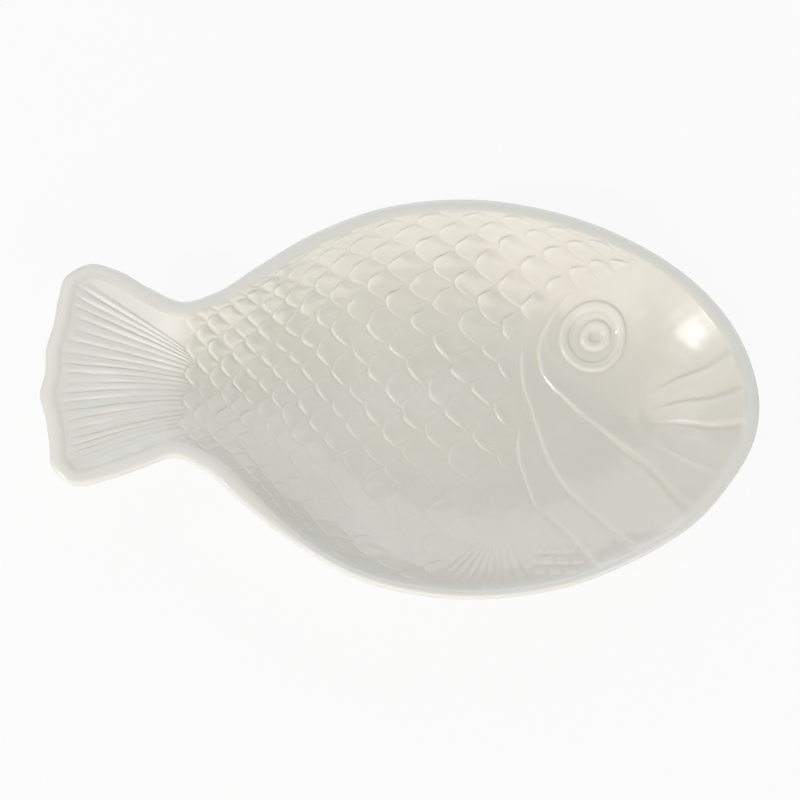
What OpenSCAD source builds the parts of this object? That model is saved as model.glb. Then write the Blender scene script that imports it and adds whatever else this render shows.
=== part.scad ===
// Fish shaped serving platter: a shallow glazed ceramic dish with a fish moulded in relief.
// Frame: x runs from the tail to the nose, y towards the fish's back, z up from the table.

/* [Platter] */
// Overall length, from the end of the tail to the nose
platter_length = 420; // [340:5:500]
// Overall width across the body
platter_width = 246; // [200:2:290]
// Height of the lip's crest above the table
platter_height = 48; // [42:1:60]
// Thickness of the ceramic wall
wall = 5; // [4:0.5:6.5]

/* [Rim] */
// Width of the plain rolled lip from the platter's edge to the dish, seen from above
rim_band = 10; // [8:0.5:13]
// Fall of the lip from its crest to the dish
rim_drop = 2; // [1:0.25:3]
// Fall of the lip from its crest to the platter's edge
lip_fall = 4.5; // [3:0.5:6]

/* [Tail] */
// Depth of the pan below the lip at the end of the tail
tail_depth = 5.5; // [5:0.5:12]
// Number of rays in the tail fin
tail_ray_count = 18; // [10:1:24]
// Rise of a tail ray above the pan
tail_ray_rise = 1.3; // [0.6:0.1:2]
// Sideways bow of the lowest tail ray
tail_ray_bow = 3; // [0:0.5:5]

/* [Foot] */
// Height of the floor's underside above the table
foot_height = 4; // [2:0.5:8]
// Length of the oval foot ring
foot_length = 176; // [130:2:200]
// Width of the oval foot ring
foot_width = 116; // [90:2:130]
// Thickness of the foot ring where it stands
foot_wall = 7; // [5:0.5:10]
// Rounding of the foot ring's lower edges
foot_chamfer = 1; // [0.5:0.1:1.5]

/* [Scales] */
// Number of half rows of scales on each side of the middle line
scale_rows = 10; // [7:1:13]
// Rise of a scale's free edge
scale_rise = 1.7; // [0.8:0.1:2.5]
// Rise of a scale's root
scale_root_rise = 0.4; // [0.2:0.1:0.8]
// Columns of small scales that close the tail's rays
tail_root_columns = 6; // [3:1:8]

/* [Head] */
// Diameter of the raised ring round the eye
eye_diameter = 40; // [30:1:46]
// Width of the raised ring round the eye
eye_ring_width = 5; // [4:0.5:8]
// Diameter of the ring round the pupil
iris_diameter = 18.5; // [14:0.5:22]
// Width of the ring round the pupil
iris_ring_width = 3; // [2.5:0.5:5]
// Diameter of the pupil
pupil_diameter = 8.5; // [5:0.5:10]
// Rise of the eye's rings
eye_rise = 1.8; // [0.8:0.1:2.5]
// Rise of the pupil
pupil_rise = 1; // [0.5:0.1:1.6]
// Width of the cheek and gill ridges
ridge_width = 6; // [3:0.5:8]
// Rise of the cheek ridge
cheek_rise = 2; // [1:0.1:3]
// Rise of the gill ridges
gill_rise = 1.4; // [0.8:0.1:2.5]
// Width of the folds round the mouth
fold_width = 7; // [4:0.5:8]
// Rise of the folds round the mouth
fold_rise = 2; // [1:0.1:3]

/* [Belly fin] */
// Number of rays in the belly fin
fin_ray_count = 8; // [4:1:10]
// Rise of a belly fin ray
fin_ray_rise = 1; // [0.5:0.1:1.6]

/* [Relief] */
// Gap between the relief and the facets of the dish that it lies on
seat_gap = 0.3; // [0.3:0.05:0.5]
// Plain strip between the relief and the rim's lip
relief_margin = 2; // [1:0.5:4]

/* [Hidden] */

glaze_colour = [0.93, 0.915, 0.865];
clay_colour = [0.84, 0.79, 0.70];

half_length = platter_length/2;
half_width = platter_width/2;
floor_depth = platter_height - foot_height - wall;

// Facets: lines round the rim, rows from the rim to the spine, steps between two outline points
ring_lines = 160;
shell_rows = 10;
outline_steps = 8;
foot_lines = 64;
eye_lines = 32;
pupil_lines = 16;
ridge_lines = 22;
fold_lines = 10;
ray_lines = 7;

// Outline from the nose round the back, tail and belly, as shares of the half length and half width
outline_shares = [
    [1, -0.02], [0.98, 0.2], [0.92, 0.42], [0.81, 0.63], [0.66, 0.8], [0.47, 0.93],
    [0.19, 1], [-0.05, 0.945], [-0.26, 0.79], [-0.43, 0.585], [-0.54, 0.445], [-0.62, 0.395],
    [-0.725, 0.46], [-0.82, 0.545], [-0.895, 0.575], [-0.96, 0.515], [-0.98, 0.39], [-0.985, 0.26],
    [-0.998, 0.115], [-0.993, 0], [-1, -0.1], [-0.975, -0.23], [-0.957, -0.35], [-0.94, -0.465],
    [-0.875, -0.545], [-0.785, -0.51], [-0.695, -0.445], [-0.605, -0.39], [-0.53, -0.44], [-0.42, -0.588],
    [-0.26, -0.78], [-0.05, -0.95], [0.19, -1], [0.457, -0.93], [0.648, -0.79], [0.8, -0.622],
    [0.914, -0.4], [0.979, -0.205]
];

// Where the tail's shell ends along the half outline, and where the floor starts and stops falling
neck_line_share = 0.75;
neck_start_share = -0.95;
neck_end_share = -0.095;
// Ends of the spine that the shell's lines run to, as shares of the half length
head_focus_share = 0.6;
tail_focus_share = -0.85;
// Run of the bowl's curve from the rim, as shares of the half width, and where along the body it is full
bowl_reach_share = 0.65;
tail_reach_share = 0.21;
reach_end_share = 0.1;
// Section of the lip from the dish to the edge: across share of the band, then drop or fall share
lip_inner_shares = [[1, 1], [0.8, 0.25], [0.6, 0]];
lip_outer_shares = [[0.45, 0.11], [0.3, 0.3], [0.15, 0.53], [0.05, 0.74], [0, 1]];
// Underside of the lip: across share of the band, then share of the wall below the edge
lip_under_shares = [[0.04, 0.22], [0.2, 0.3], [0.55, 0.3]];
// Middle of the foot ring as a share of the half length, and the draft of its sides towards the table
foot_middle_share = 0.18;
foot_draft_share = 0.2;

// Places on the head, as shares of the dish's half length and half width
eye_place_shares = [0.5825, 0.425];
cheek_shares = [
    [0.465, 0.55], [0.41, 0.38], [0.445, 0.195], [0.475, 0.105], [0.53, 0.045],
    [0.605, -0.06], [0.67, -0.185], [0.74, -0.3], [0.82, -0.5]
];
gill_cover_shares = [
    [0.36, 0.39], [0.375, 0.177], [0.39, 0.027], [0.425, -0.07], [0.44, -0.186],
    [0.475, -0.31], [0.51, -0.44], [0.595, -0.6], [0.675, -0.73]
];
gill_fold_shares = [
    [0.365, -0.06], [0.36, -0.186], [0.37, -0.283], [0.39, -0.38],
    [0.405, -0.5], [0.455, -0.6], [0.51, -0.68], [0.573, -0.8]
];
upper_lip_shares = [[0.8, 0.09], [0.85, 0.07], [0.895, 0.106], [0.965, 0.165]];
middle_lip_shares = [[0.815, -0.045], [0.875, -0.053], [0.94, -0.062], [0.975, -0.07]];
lower_lip_shares = [[0.79, -0.106], [0.855, -0.15], [0.92, -0.22], [0.945, -0.26]];
jaw_shares = [
    [0.73, 0.07], [0.72, -0.027], [0.74, -0.115], [0.775, -0.195], [0.83, -0.265], [0.895, -0.38]
];
// Share of a ridge's width that its crest takes, and of a ray's pitch that the ray takes
crest_share = 0.3;
ray_fill_share = 0.7;
// Section of a ridge from side to side, then the middle of its seat: share of the half width, then rise share
ridge_section_shares = [[1, 0], [crest_share, 1], [-crest_share, 1], [-1, 0], [0, 0]];

// Head's edge of the scales: across share of the dish, then along share
head_edge_shares = [
    [-1, 0.07], [-0.885, 0.17], [-0.75, 0.24], [-0.637, 0.29], [-0.513, 0.365], [-0.38, 0.355],
    [-0.186, 0.33], [0, 0.34], [0.177, 0.345], [0.407, 0.34], [0.496, 0.39], [0.62, 0.46],
    [0.69, 0.61], [0.78, 0.72], [0.93, 0.76]
];
// First and last column of scales, as shares of the dish's half length
scale_start_share = -0.645;
scale_stop_share = 0.75;
// Pitch of the columns as a share of the rows' half width, and the least of that as a share of the half width
scale_pitch_share = 0.12;
row_half_share = 0.5;
// Bend of the rows: they crowd together up the sides as on a round body
scale_bow_angle = 70;
// One scale: along and across shares of its pitch and lift share, from the tip of its free edge round
scale_outline_shares = [
    [-0.92, 0, 1], [-0.72, 0.48, 1], [-0.09, 0.86, 0.8], [0.18, 0.46, 0.25],
    [0.86, 0, 0], [0.18, -0.46, 0.25], [-0.09, -0.86, 0.8], [-0.72, -0.48, 1]
];
scale_middle_lift_share = 0.55;
// Rows of each group of scales, as across shares of the half rows
lateral_from_share = 0.42;
lateral_to_share = 0.62;
belly_to_share = -0.45;

// Tail rays: half spread of their roots and ends, as shares of the dish's half width, then their ends along it
ray_root_shares = [-0.25, 0.2];
ray_end_shares = [-0.41, 0.5];
ray_reach_share = -0.975;
ray_lobe_share = 0.045;
ray_root_along_share = -0.662;
// Belly fin: hub, the ends' along shares, their across share of the local half width, and the bare share at the hub
fin_hub_shares = [0.31, -0.646];
fin_end_shares = [0.15, 0.375];
fin_across_share = 0.965;
fin_bare_share = 0.35;

// Cyclic entry of a list
function at(list, i) = list[(i + len(list)) % len(list)];

// Smooth curve through points, with tangents weighted by the chords on both sides
function tangent(a, b, c) =
    let (d = norm(b - a), e = norm(c - b)) ((b - a)*e/d + (c - b)*d/e)/(d + e);
function hermite(p, q, m, n, s) =
    p*(2*s^3 - 3*s^2 + 1) + m*(s^3 - 2*s^2 + s) + q*(3*s^2 - 2*s^3) + n*(s^3 - s^2);
function between(a, b, c, d, s) =
    let (span = norm(c - b)) hermite(b, c, tangent(a, b, c)*span, tangent(b, c, d)*span, s);

// Outline of the platter, then the same with even steps round it
outline = [for (p = outline_shares) [p.x*half_length, p.y*half_width]];
curve = [
    for (k = [0:len(outline) - 1]) for (s = [0:outline_steps - 1])
        between(at(outline, k - 1), outline[k], at(outline, k + 1), at(outline, k + 2), s/outline_steps)
];
runs = [for (i = 0, d = 0; i <= len(curve); d = d + norm(at(curve, i + 1) - at(curve, i)), i = i + 1) d];
x_run = [for (i = [0:len(curve)]) [runs[i], at(curve, i).x]];
y_run = [for (i = [0:len(curve)]) [runs[i], at(curve, i).y]];
perimeter = runs[len(curve)];
ring = [
    for (i = [0:ring_lines - 1])
        let (d = perimeter*i/ring_lines) [lookup(d, x_run), lookup(d, y_run)]
];

// Points set inwards from the outline, and the shoulder where the lip meets the dish
function inward(i) = let (t = at(ring, i + 1) - at(ring, i - 1)) [-t.y, t.x]/norm(t);
function rim_point(i, d) = at(ring, i) + inward(i)*d;
shoulder = [for (i = [0:ring_lines - 1]) rim_point(i, rim_band)];
neck_line = round(ring_lines/2*neck_line_share);
neck_x = (ring[neck_line].x + at(ring, -neck_line).x)/2;

// Least distance from a point to the outline
function from_segment(p, a, b) =
    let (ab = b - a, s = min(1, max(0, (p - a)*ab/(ab*ab)))) norm(p - a - ab*s);
function edge_distance(p) = min([for (i = [0:ring_lines - 1]) from_segment(p, ring[i], at(ring, i + 1))]);

// The dish: a bowl whose depth and run grow from the tail's pan to the body
function ease(s) = let (c = min(1, max(0, s))) c*c*(3 - 2*c);
function body_part(x, end_share) = ease((x/half_length - neck_start_share)/(end_share - neck_start_share));
function depth(x) = tail_depth + (floor_depth - tail_depth)*body_part(x, neck_end_share);
function reach(x) =
    half_width*(tail_reach_share + (bowl_reach_share - tail_reach_share)*body_part(x, reach_end_share));
function inner_share(p) = min(1, max(0, (edge_distance(p) - rim_band)/reach(p.x)));
function bowl(x, s) =
    let (fall = depth(x) - rim_drop, slope = 2*fall*(1 - s)/reach(x))
    let (top = platter_height - rim_drop - fall*(1 - (1 - s)^2))
    [top, top - wall*sqrt(1 + slope^2)];
function dish(p) = bowl(p.x, inner_share(p));
function seat(p) = dish(p)[0] + seat_gap;

// Places on the dish, and the half width of the relief at x on the side of y
function place(share) = [share.x*(half_length - rim_band), share.y*(half_width - rim_band)];
upper_edge = [for (i = [neck_line:-1:0]) shoulder[i]];
lower_edge = [for (i = [-neck_line:0]) [at(shoulder, i).x, -at(shoulder, i).y]];
function relief_half(x, y) = lookup(x, y < 0 ? lower_edge : upper_edge) - relief_margin;

function raise(p, z) = [p.x, p.y, z];
function quad(a, b, c, d) = [[a, b, c], [a, c, d]];

// Many like solids in one shape: a list of point lists that share one list of faces
module solids(bodies, faces) {
    size = len(bodies[0]);
    polyhedron(
        points = [for (body = bodies) each body],
        faces = [for (k = [0:len(bodies) - 1]) for (f = faces) f + [1, 1, 1]*(k*size)]
    );
}

// Shell between the shoulder and the spine, for a run of lines that is even on both sides of the spine
function spine_x(i) =
    let (k = (i + ring_lines) % ring_lines, fold = min(k, ring_lines - k))
    let (head = head_focus_share*half_length, tail = tail_focus_share*half_length)
    fold <= neck_line
        ? head + (neck_x - head)*fold/neck_line
        : neck_x + (tail - neck_x)*(fold - neck_line)/(ring_lines/2 - neck_line);
function shell_line(i, j) =
    let (p = at(shoulder, i), q = p + ([spine_x(i), 0] - p)*j/shell_rows)
    concat(q, j == 0 ? bowl(q.x, 0) : dish(q));
module shell(first, lines) {
    middle = (lines - 1)/2;
    spots = concat(
        [for (l = [0:lines - 1]) for (j = [0:shell_rows - 1]) shell_line(first + l, j)],
        [for (k = [0:middle]) shell_line(first + middle + k, shell_rows)]
    );
    count = len(spots);
    function up(l, j) = j < shell_rows ? l*shell_rows + j : lines*shell_rows + abs(l - middle);
    function down(l, j) = up(l, j) + count;
    last = lines - 1;
    polyhedron(
        points = concat([for (s = spots) [s[0], s[1], s[2]]], [for (s = spots) [s[0], s[1], s[3]]]),
        faces = [
            for (l = [0:last - 1]) for (j = [0:shell_rows - 1]) each concat(
                quad(up(l, j), up(l, j + 1), up(l + 1, j + 1), up(l + 1, j)),
                quad(down(l, j), down(l + 1, j), down(l + 1, j + 1), down(l, j + 1))
            ),
            for (l = [0:last - 1]) each quad(up(l, 0), up(l + 1, 0), down(l + 1, 0), down(l, 0)),
            for (j = [0:shell_rows - 1]) each concat(
                quad(up(0, j + 1), up(0, j), down(0, j), down(0, j + 1)),
                quad(up(last, j), up(last, j + 1), down(last, j + 1), down(last, j))
            )
        ]
    );
}

module dish_shell() {
    color(glaze_colour) shell(-neck_line, 2*neck_line + 1);
}

module tail_shell() {
    color(glaze_colour) shell(neck_line, ring_lines - 2*neck_line + 1);
}

// Rim: the plain rolled lip, swept round the outline
function rim_section(i) = concat(
    [for (s = lip_inner_shares) [rim_band*s[0], platter_height - rim_drop*s[1]]],
    [for (s = lip_outer_shares) [rim_band*s[0], platter_height - lip_fall*s[1]]],
    [for (s = lip_under_shares) [rim_band*s[0], platter_height - lip_fall - wall*s[1]]],
    [[rim_band, bowl(at(shoulder, i).x, 0)[1]]]
);
module rim_lip() {
    sections = [for (i = [0:ring_lines - 1]) [for (s = rim_section(i)) raise(rim_point(i, s[0]), s[1])]];
    size = len(sections[0]);
    function id(i, m) = (i % ring_lines)*size + m % size;
    color(glaze_colour) polyhedron(
        points = [for (s = sections) each s],
        faces = [
            for (i = [0:ring_lines - 1]) for (m = [0:size - 1])
                each quad(id(i, m), id(i + 1, m), id(i + 1, m + 1), id(i, m + 1))
        ]
    );
}

// Foot: an oval ring whose top follows the underside of the dish
function oval(a, inset) =
    [foot_middle_share*half_length + (foot_length/2 - inset)*cos(a), (foot_width/2 - inset)*sin(a)];
function foot_section(a) =
    let (draft = foot_wall*foot_draft_share)
    let (outer = oval(a, -draft), inner = oval(a, foot_wall + draft))
    [
        raise(outer, dish(outer)[1] - seat_gap),
        raise(inner, dish(inner)[1] - seat_gap),
        raise(oval(a, foot_wall), foot_chamfer),
        raise(oval(a, foot_wall - foot_chamfer), 0),
        raise(oval(a, foot_chamfer), 0),
        raise(oval(a, 0), foot_chamfer)
    ];
module foot_ring() {
    sections = [for (k = [0:foot_lines - 1]) foot_section(360*k/foot_lines)];
    color(clay_colour) band(sections);
}

// Closed band of sections, each section listed from outside over the top to the inside
module band(sections) {
    lines = len(sections);
    size = len(sections[0]);
    function id(k, m) = (k % lines)*size + m % size;
    polyhedron(
        points = [for (s = sections) each s],
        faces = [
            for (k = [0:lines - 1]) for (m = [0:size - 1])
                each quad(id(k, m), id(k, m + 1), id(k + 1, m + 1), id(k + 1, m))
        ]
    );
}

// Eye: two raised rings and a domed pupil
function eye_spot(a, r) = place(eye_place_shares) + r*[cos(a), sin(a)];
function eye_section(a, outer, width) =
    let (bevel = width*crest_share)
    [
        for (s = [[0, 0], [bevel, eye_rise], [width - bevel, eye_rise], [width, 0]])
            let (p = eye_spot(a, outer - s[0])) raise(p, seat(p) + s[1])
    ];
module eye_ring(diameter, width) {
    band([for (k = [0:eye_lines - 1]) eye_section(360*k/eye_lines, diameter/2, width)]);
}

module eye_socket_ring() {
    color(glaze_colour) eye_ring(eye_diameter, eye_ring_width);
}

module eye_iris_ring() {
    color(glaze_colour) eye_ring(iris_diameter, iris_ring_width);
}

module eye_pupil() {
    middle = place(eye_place_shares);
    radius = pupil_diameter/2;
    function ring_of(share, rise) = [
        for (k = [0:pupil_lines - 1])
            let (p = eye_spot(360*k/pupil_lines, radius*share)) raise(p, seat(p) + rise)
    ];
    top = 2*pupil_lines;
    color(glaze_colour) polyhedron(
        points = concat(
            ring_of(1, 0), ring_of(1 - crest_share, pupil_rise*(1 - crest_share)),
            [raise(middle, seat(middle) + pupil_rise), raise(middle, seat(middle))]
        ),
        faces = [
            for (k = [0:pupil_lines - 1])
                let (n = (k + 1) % pupil_lines, up = k + pupil_lines, up_n = n + pupil_lines)
                each concat(quad(k, up, up_n, n), [[up, top, up_n], [k, n, top + 1]])
        ]
    );
}

// Ridges: a low swept section that fades out at both ends
function control(path, k) =
    k < 0 ? 2*path[0] - path[1] : k < len(path) ? path[k] : 2*path[k - 1] - path[k - 2];
function along(path, s) =
    let (u = s*(len(path) - 1), k = min(floor(u), len(path) - 2))
    between(control(path, k - 1), path[k], path[k + 1], control(path, k + 2), u - k);
function ridge_section(p, side, width, rise) = [
    for (s = ridge_section_shares)
        let (q = p + side*s[0]*width/2) raise(q, seat(q) + rise*s[1])
];
function ridge(path, stations, from_width, to_width, rise) = [
    for (k = [0:stations - 1])
        let (s = k/(stations - 1), fade = sqrt(sin(180*(k + 0.5)/stations)))
        let (ahead = along(path, min(1, s + 0.5/stations)), behind = along(path, max(0, s - 0.5/stations)))
        let (t = (ahead - behind)/norm(ahead - behind))
        each ridge_section(
            along(path, s), [-t.y, t.x], fade*(from_width + (to_width - from_width)*s), fade*rise
        )
];
function ridge_faces(stations) =
    let (size = len(ridge_section_shares), end = size*(stations - 1))
    concat(
        [
            for (k = [0:stations - 2]) for (m = [0:size - 1])
                let (a = k*size, n = (m + 1) % size) each quad(a + m, a + size + m, a + size + n, a + n)
        ],
        [for (m = [0:size - 3]) [size - 1, m, m + 1]],
        [for (m = [0:size - 3]) [end + size - 1, end + m + 1, end + m]]
    );
module long_ridge(shares, width, rise) {
    path = [for (s = shares) place(s)];
    color(glaze_colour)
        solids([ridge(path, ridge_lines, width, width, rise)], ridge_faces(ridge_lines));
}
module mouth_fold(shares) {
    path = [for (s = shares) place(s)];
    color(glaze_colour)
        solids([ridge(path, fold_lines, fold_width/2, fold_width, fold_rise)], ridge_faces(fold_lines));
}

module cheek_ridge() {
    long_ridge(cheek_shares, ridge_width, cheek_rise);
}

module gill_cover_ridge() {
    long_ridge(gill_cover_shares, ridge_width, gill_rise);
}

module gill_fold() {
    long_ridge(gill_fold_shares, ridge_width, gill_rise);
}

module upper_lip_fold() {
    mouth_fold(upper_lip_shares);
}

module middle_lip_fold() {
    mouth_fold(middle_lip_shares);
}

module lower_lip_fold() {
    mouth_fold(lower_lip_shares);
}

module jaw_ridge() {
    long_ridge(jaw_shares, fold_width, fold_rise);
}

// Scales: columns whose pitch follows the body's width, with every second column set half a row aside.
// Towards the tail the rows keep their width and run out at the dish's edge.
function row_half(x, y) = max(relief_half(x, y), row_half_share*half_width);
columns = [
    for (x = place([scale_start_share, 0]).x; x < place([scale_stop_share, 0]).x;
        x = x + scale_pitch_share*(row_half(x, -1) + row_half(x, 1))/2) x
];
column_run = [for (c = [0:len(columns) - 1]) [c, columns[c]]];
function scale_spot(c, b) =
    let (x = lookup(c, column_run)) [x, row_half(x, b)*sin(scale_bow_angle*b/scale_rows)/sin(scale_bow_angle)];
function scale_rim(c, b) = [for (s = scale_outline_shares) scale_spot(c + s[0], b + s[1])];
head_edge = [for (s = head_edge_shares) [place([0, s[0]]).y, place([s[1], 0]).x]];
function scaled_skin(c, b) =
    columns[c + 1] < lookup(scale_spot(c, b).y, head_edge)
    && min([for (p = scale_rim(c, b)) relief_half(p.x, p.y) - abs(p.y)]) > 0;
function scale_group(c, b) =
    let (v = b/scale_rows)
    c <= tail_root_columns ? "tail root"
        : v < belly_to_share ? "belly"
        : v < lateral_from_share ? "flank"
        : v < lateral_to_share ? "lateral" : "back";
function scale_solid(c, b) =
    let (rim = scale_rim(c, b), middle = scale_spot(c, b))
    let (lift = [for (s = scale_outline_shares) scale_root_rise + (scale_rise - scale_root_rise)*s[2]])
    let (middle_lift = scale_root_rise + (scale_rise - scale_root_rise)*scale_middle_lift_share)
    let (floor = [for (p = rim) seat(p)], middle_floor = seat(middle))
    concat(
        [for (k = [0:len(rim) - 1]) raise(rim[k], floor[k])],
        [for (k = [0:len(rim) - 1]) raise(rim[k], floor[k] + lift[k])],
        [raise(middle, middle_floor), raise(middle, middle_floor + middle_lift)]
    );
scale_corners = len(scale_outline_shares);
scale_faces = [
    for (k = [0:scale_corners - 1])
        let (n = (k + 1) % scale_corners, up = k + scale_corners, up_n = n + scale_corners)
        each concat(
            quad(up_n, up, k, n),
            [[up, up_n, 2*scale_corners + 1], [n, k, 2*scale_corners]]
        )
];
module scales(group) {
    color(glaze_colour) solids(
        [
            for (c = [1:len(columns) - 2]) for (b = [1 - scale_rows + (c + 1) % 2:2:scale_rows - 1])
                if (scale_group(c, b) == group && scaled_skin(c, b)) scale_solid(c, b)
        ],
        scale_faces
    );
}

module tail_root_scales() {
    scales("tail root");
}

module flank_scales() {
    scales("flank");
}

module lateral_scales() {
    scales("lateral");
}

module back_scales() {
    scales("back");
}

module belly_scales() {
    scales("belly");
}

// Rays of the tail fin, from the neck to the end of the pan
function tail_ray_path(s) =
    let (v = 2*s - 1, root = ray_root_shares, end = ray_end_shares)
    let (a = place([ray_root_along_share, root[0] + (root[1] - root[0])*s]))
    let (b = place([ray_reach_share + ray_lobe_share*v^2, end[0] + (end[1] - end[0])*s]))
    [a, (a + b)/2 + [0, tail_ray_bow*max(0, -v)], b];
module tail_rays() {
    pitch = place([0, 1]).y*ray_fill_share/(tail_ray_count - 1);
    from_width = pitch*(ray_root_shares[1] - ray_root_shares[0]);
    to_width = pitch*(ray_end_shares[1] - ray_end_shares[0]);
    color(glaze_colour) solids(
        [
            for (k = [0:tail_ray_count - 1])
                ridge(tail_ray_path(k/(tail_ray_count - 1)), ray_lines, from_width, to_width, tail_ray_rise)
        ],
        ridge_faces(ray_lines)
    );
}

// Rays of the belly fin, fanned from a hub to the lower edge of the dish
function fin_ray_path(s) =
    let (x = place([fin_end_shares[0] + (fin_end_shares[1] - fin_end_shares[0])*s, 0]).x)
    let (hub = place(fin_hub_shares), end = [x, -fin_across_share*relief_half(x, -1)])
    [hub + (end - hub)*fin_bare_share, end];
module belly_fin_rays() {
    pitch = norm(fin_ray_path(1)[1] - fin_ray_path(0)[1])*ray_fill_share/(fin_ray_count - 1);
    color(glaze_colour) solids(
        [
            for (k = [0:fin_ray_count - 1])
                ridge(fin_ray_path(k/(fin_ray_count - 1)), ray_lines, pitch*fin_bare_share, pitch, fin_ray_rise)
        ],
        ridge_faces(ray_lines)
    );
}

dish_shell();
tail_shell();
rim_lip();
foot_ring();
eye_socket_ring();
eye_iris_ring();
eye_pupil();
cheek_ridge();
gill_cover_ridge();
gill_fold();
upper_lip_fold();
middle_lip_fold();
lower_lip_fold();
jaw_ridge();
tail_root_scales();
flank_scales();
lateral_scales();
back_scales();
belly_scales();
tail_rays();
belly_fin_rays();
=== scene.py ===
import math

import bmesh
import bpy
import numpy as np
from bpy.props import FloatProperty, FloatVectorProperty, IntProperty, PointerProperty
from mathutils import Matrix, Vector


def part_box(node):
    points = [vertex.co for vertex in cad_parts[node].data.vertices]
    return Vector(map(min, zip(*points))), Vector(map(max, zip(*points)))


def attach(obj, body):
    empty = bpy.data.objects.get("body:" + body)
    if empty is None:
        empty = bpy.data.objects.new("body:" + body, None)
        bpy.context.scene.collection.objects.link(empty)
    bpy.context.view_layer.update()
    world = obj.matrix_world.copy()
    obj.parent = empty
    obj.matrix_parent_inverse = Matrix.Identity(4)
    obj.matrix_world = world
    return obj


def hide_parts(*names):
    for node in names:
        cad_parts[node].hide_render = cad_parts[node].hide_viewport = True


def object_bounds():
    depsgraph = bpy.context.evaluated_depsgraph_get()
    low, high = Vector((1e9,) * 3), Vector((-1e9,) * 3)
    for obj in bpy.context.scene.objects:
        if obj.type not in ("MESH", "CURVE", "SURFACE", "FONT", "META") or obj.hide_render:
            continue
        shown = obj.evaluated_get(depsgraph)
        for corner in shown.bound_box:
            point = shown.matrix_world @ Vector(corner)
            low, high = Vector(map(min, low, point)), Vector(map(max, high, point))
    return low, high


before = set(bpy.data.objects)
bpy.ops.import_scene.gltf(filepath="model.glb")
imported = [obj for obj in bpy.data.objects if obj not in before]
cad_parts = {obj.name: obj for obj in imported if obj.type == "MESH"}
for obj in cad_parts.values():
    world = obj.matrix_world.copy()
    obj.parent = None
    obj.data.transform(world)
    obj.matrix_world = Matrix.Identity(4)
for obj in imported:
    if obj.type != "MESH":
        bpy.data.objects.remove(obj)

bl_info = {
    "name": "Fish shaped platter",
    "version": (1, 0, 0),
    "blender": (4, 5, 0),
    "location": "View3D > Sidebar > Platter",
    "description": "Builds the glazed platter, its bare foot and a plain studio round the packed part",
    "category": "Add Mesh",
}

# Shapes are worked out in millimetres and set in metres.
MM = 0.001
CAD_BOX = [list(corner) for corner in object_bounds()]
LOW, HIGH = (np.array(corner) / MM for corner in CAD_BOX)
HALF_LENGTH = (HIGH[0] - LOW[0]) / 2
HALF_WIDTH = (HIGH[1] - LOW[1]) / 2
HEIGHT = HIGH[2]
# Spare room that keeps the curved lip inside the box of the faceted solid
BOX_ROOM = 0.02

# Outline from the nose round the back, tail and belly, as shares of the half length and half width
OUTLINE_SHARES = [
    (1, -0.02), (0.98, 0.2), (0.92, 0.42), (0.81, 0.63), (0.66, 0.8), (0.47, 0.93),
    (0.19, 1), (-0.05, 0.945), (-0.26, 0.79), (-0.43, 0.585), (-0.54, 0.445), (-0.62, 0.395),
    (-0.725, 0.46), (-0.82, 0.545), (-0.895, 0.575), (-0.96, 0.515), (-0.98, 0.39), (-0.985, 0.26),
    (-0.998, 0.115), (-0.993, 0), (-1, -0.1), (-0.975, -0.23), (-0.957, -0.35), (-0.94, -0.465),
    (-0.875, -0.545), (-0.785, -0.51), (-0.695, -0.445), (-0.605, -0.39), (-0.53, -0.44), (-0.42, -0.588),
    (-0.26, -0.78), (-0.05, -0.95), (0.19, -1), (0.457, -0.93), (0.648, -0.79), (0.8, -0.622),
    (0.914, -0.4), (0.979, -0.205),
]
OUTLINE_STEPS = 24
OUTLINE_COUNT = 2240
OUTLINE_SPREAD = 7
EDGE_EVERY = 4

# Lines of the dish run from the lip to a spine, and are counted from the nose (0) to the tail's end (1).
# The head, the body and the neck end in straight lines across.
HEAD_LINE = 0.38
BODY_LINE = 0.65
NECK_LINE = 0.75
SPINE = [
    (0.0, 0.6 * HALF_LENGTH), (HEAD_LINE, 66.0), (BODY_LINE, -76.0), (NECK_LINE, -129.0), (1.0, -0.85 * HALF_LENGTH),
]

# The dish's depth and run, from the tail's pan to the body
NECK_START = -0.95 * HALF_LENGTH
NECK_END = -0.095 * HALF_LENGTH
REACH_END = 0.1 * HALF_LENGTH
BOWL_REACH = 0.65 * HALF_WIDTH
TAIL_REACH = 0.21 * HALF_WIDTH
# Where the bowl widens into the lip: the start and the run below the spine, then along the body from the tail
NEAR_SIDE = (30, 50)
NEAR_BODY = (-90, 50)

# Lip's section from the crest to the edge: shares of the crest's distance and of the lip's fall. Then from the edge
# under the lip: shares of the crest's distance and depth below the edge.
LIP_TOP = [(1, 0), (0.75, 0), (0.5, 0.04), (0.25, 0.2), (0.08, 0.5), (0, 1)]
LIP_UNDER = [(0.08, 1.1), (0.33, 1.5), (0.9, 1.5)]
LIP_STEPS = 3
RIM_COLUMNS = 1500
INNER_RINGS = 8
UNDER_RINGS = 5
SEAM_STEP = 0.5
# Thickness of the glaze on an edge and on a plain wall, as a share. On the lip the thin glaze is partly the glaze on
# the edge and partly painted light, which makes the lip paler and cooler
THIN_GLAZE_AND_PAINTED_LIGHT = 0.2
EVEN_GLAZE = 0.5
# The relief starts this far from the lip's crest, and reaches its full rise over the run
RELIEF_START = 0.6
RELIEF_RUN = 3.4

# Foot's section from the outer top round the standing edge to the inner top: inset, then height; none follows the dish
FOOT_SECTION = [
    (0.1, None), (0.7, 2.6), (1.4, 1.2), (1.7, 0.45), (2.4, 0.0), (4.9, 0.0), (7.4, 0.0), (8.1, 0.45),
    (8.4, 1.2), (9.0, 2.6), (9.7, None),
]
FOOT_COLUMNS = 256
FOOT_SEAT = 0.4

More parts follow.
